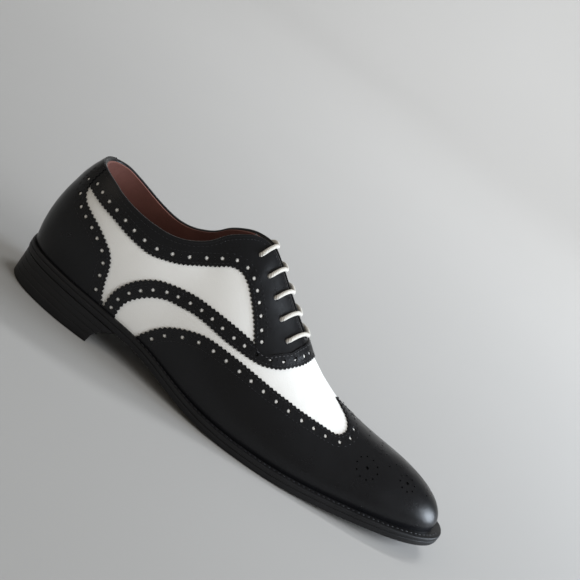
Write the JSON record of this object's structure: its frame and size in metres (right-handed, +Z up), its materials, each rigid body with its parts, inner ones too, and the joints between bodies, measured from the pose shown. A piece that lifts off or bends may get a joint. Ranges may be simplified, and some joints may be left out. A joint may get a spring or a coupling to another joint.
{
  "type": "spectator shoe",
  "caption": "Lace-up spectator shoe with a pointed toe: white leather upper, black pinked wing cap, counter and facings, welted sole and stacked heel.",
  "frame": {"origin": "middle of the shoe's footprint box, on the floor", "axes": "+X towards the toe, +Y towards the inner side of a right foot, +Z up from the floor"},
  "size_m": [0.3058, 0.0996, 0.1096],
  "materials": {
    "sole_black": "inked and waxed edge, satin",
    "white_leather": "smooth calf, soft sheen",
    "black_leather": "smooth calf, polished at the toe",
    "lining_leather": "matt red-brown lining",
    "lace_cord": "waxed cotton cord, cream"
  },
  "bodies": {
    "root": {"outsole": "sole_black", "welt": "sole_black", "heel": "sole_black", "upper": "white_leather", "wing_cap": "black_leather", "heel_counter": "black_leather", "facing": "black_leather", "tongue": "black_leather", "insole": "lining_leather", "lace": "lace_cord"}
  },
  "joints": []
}
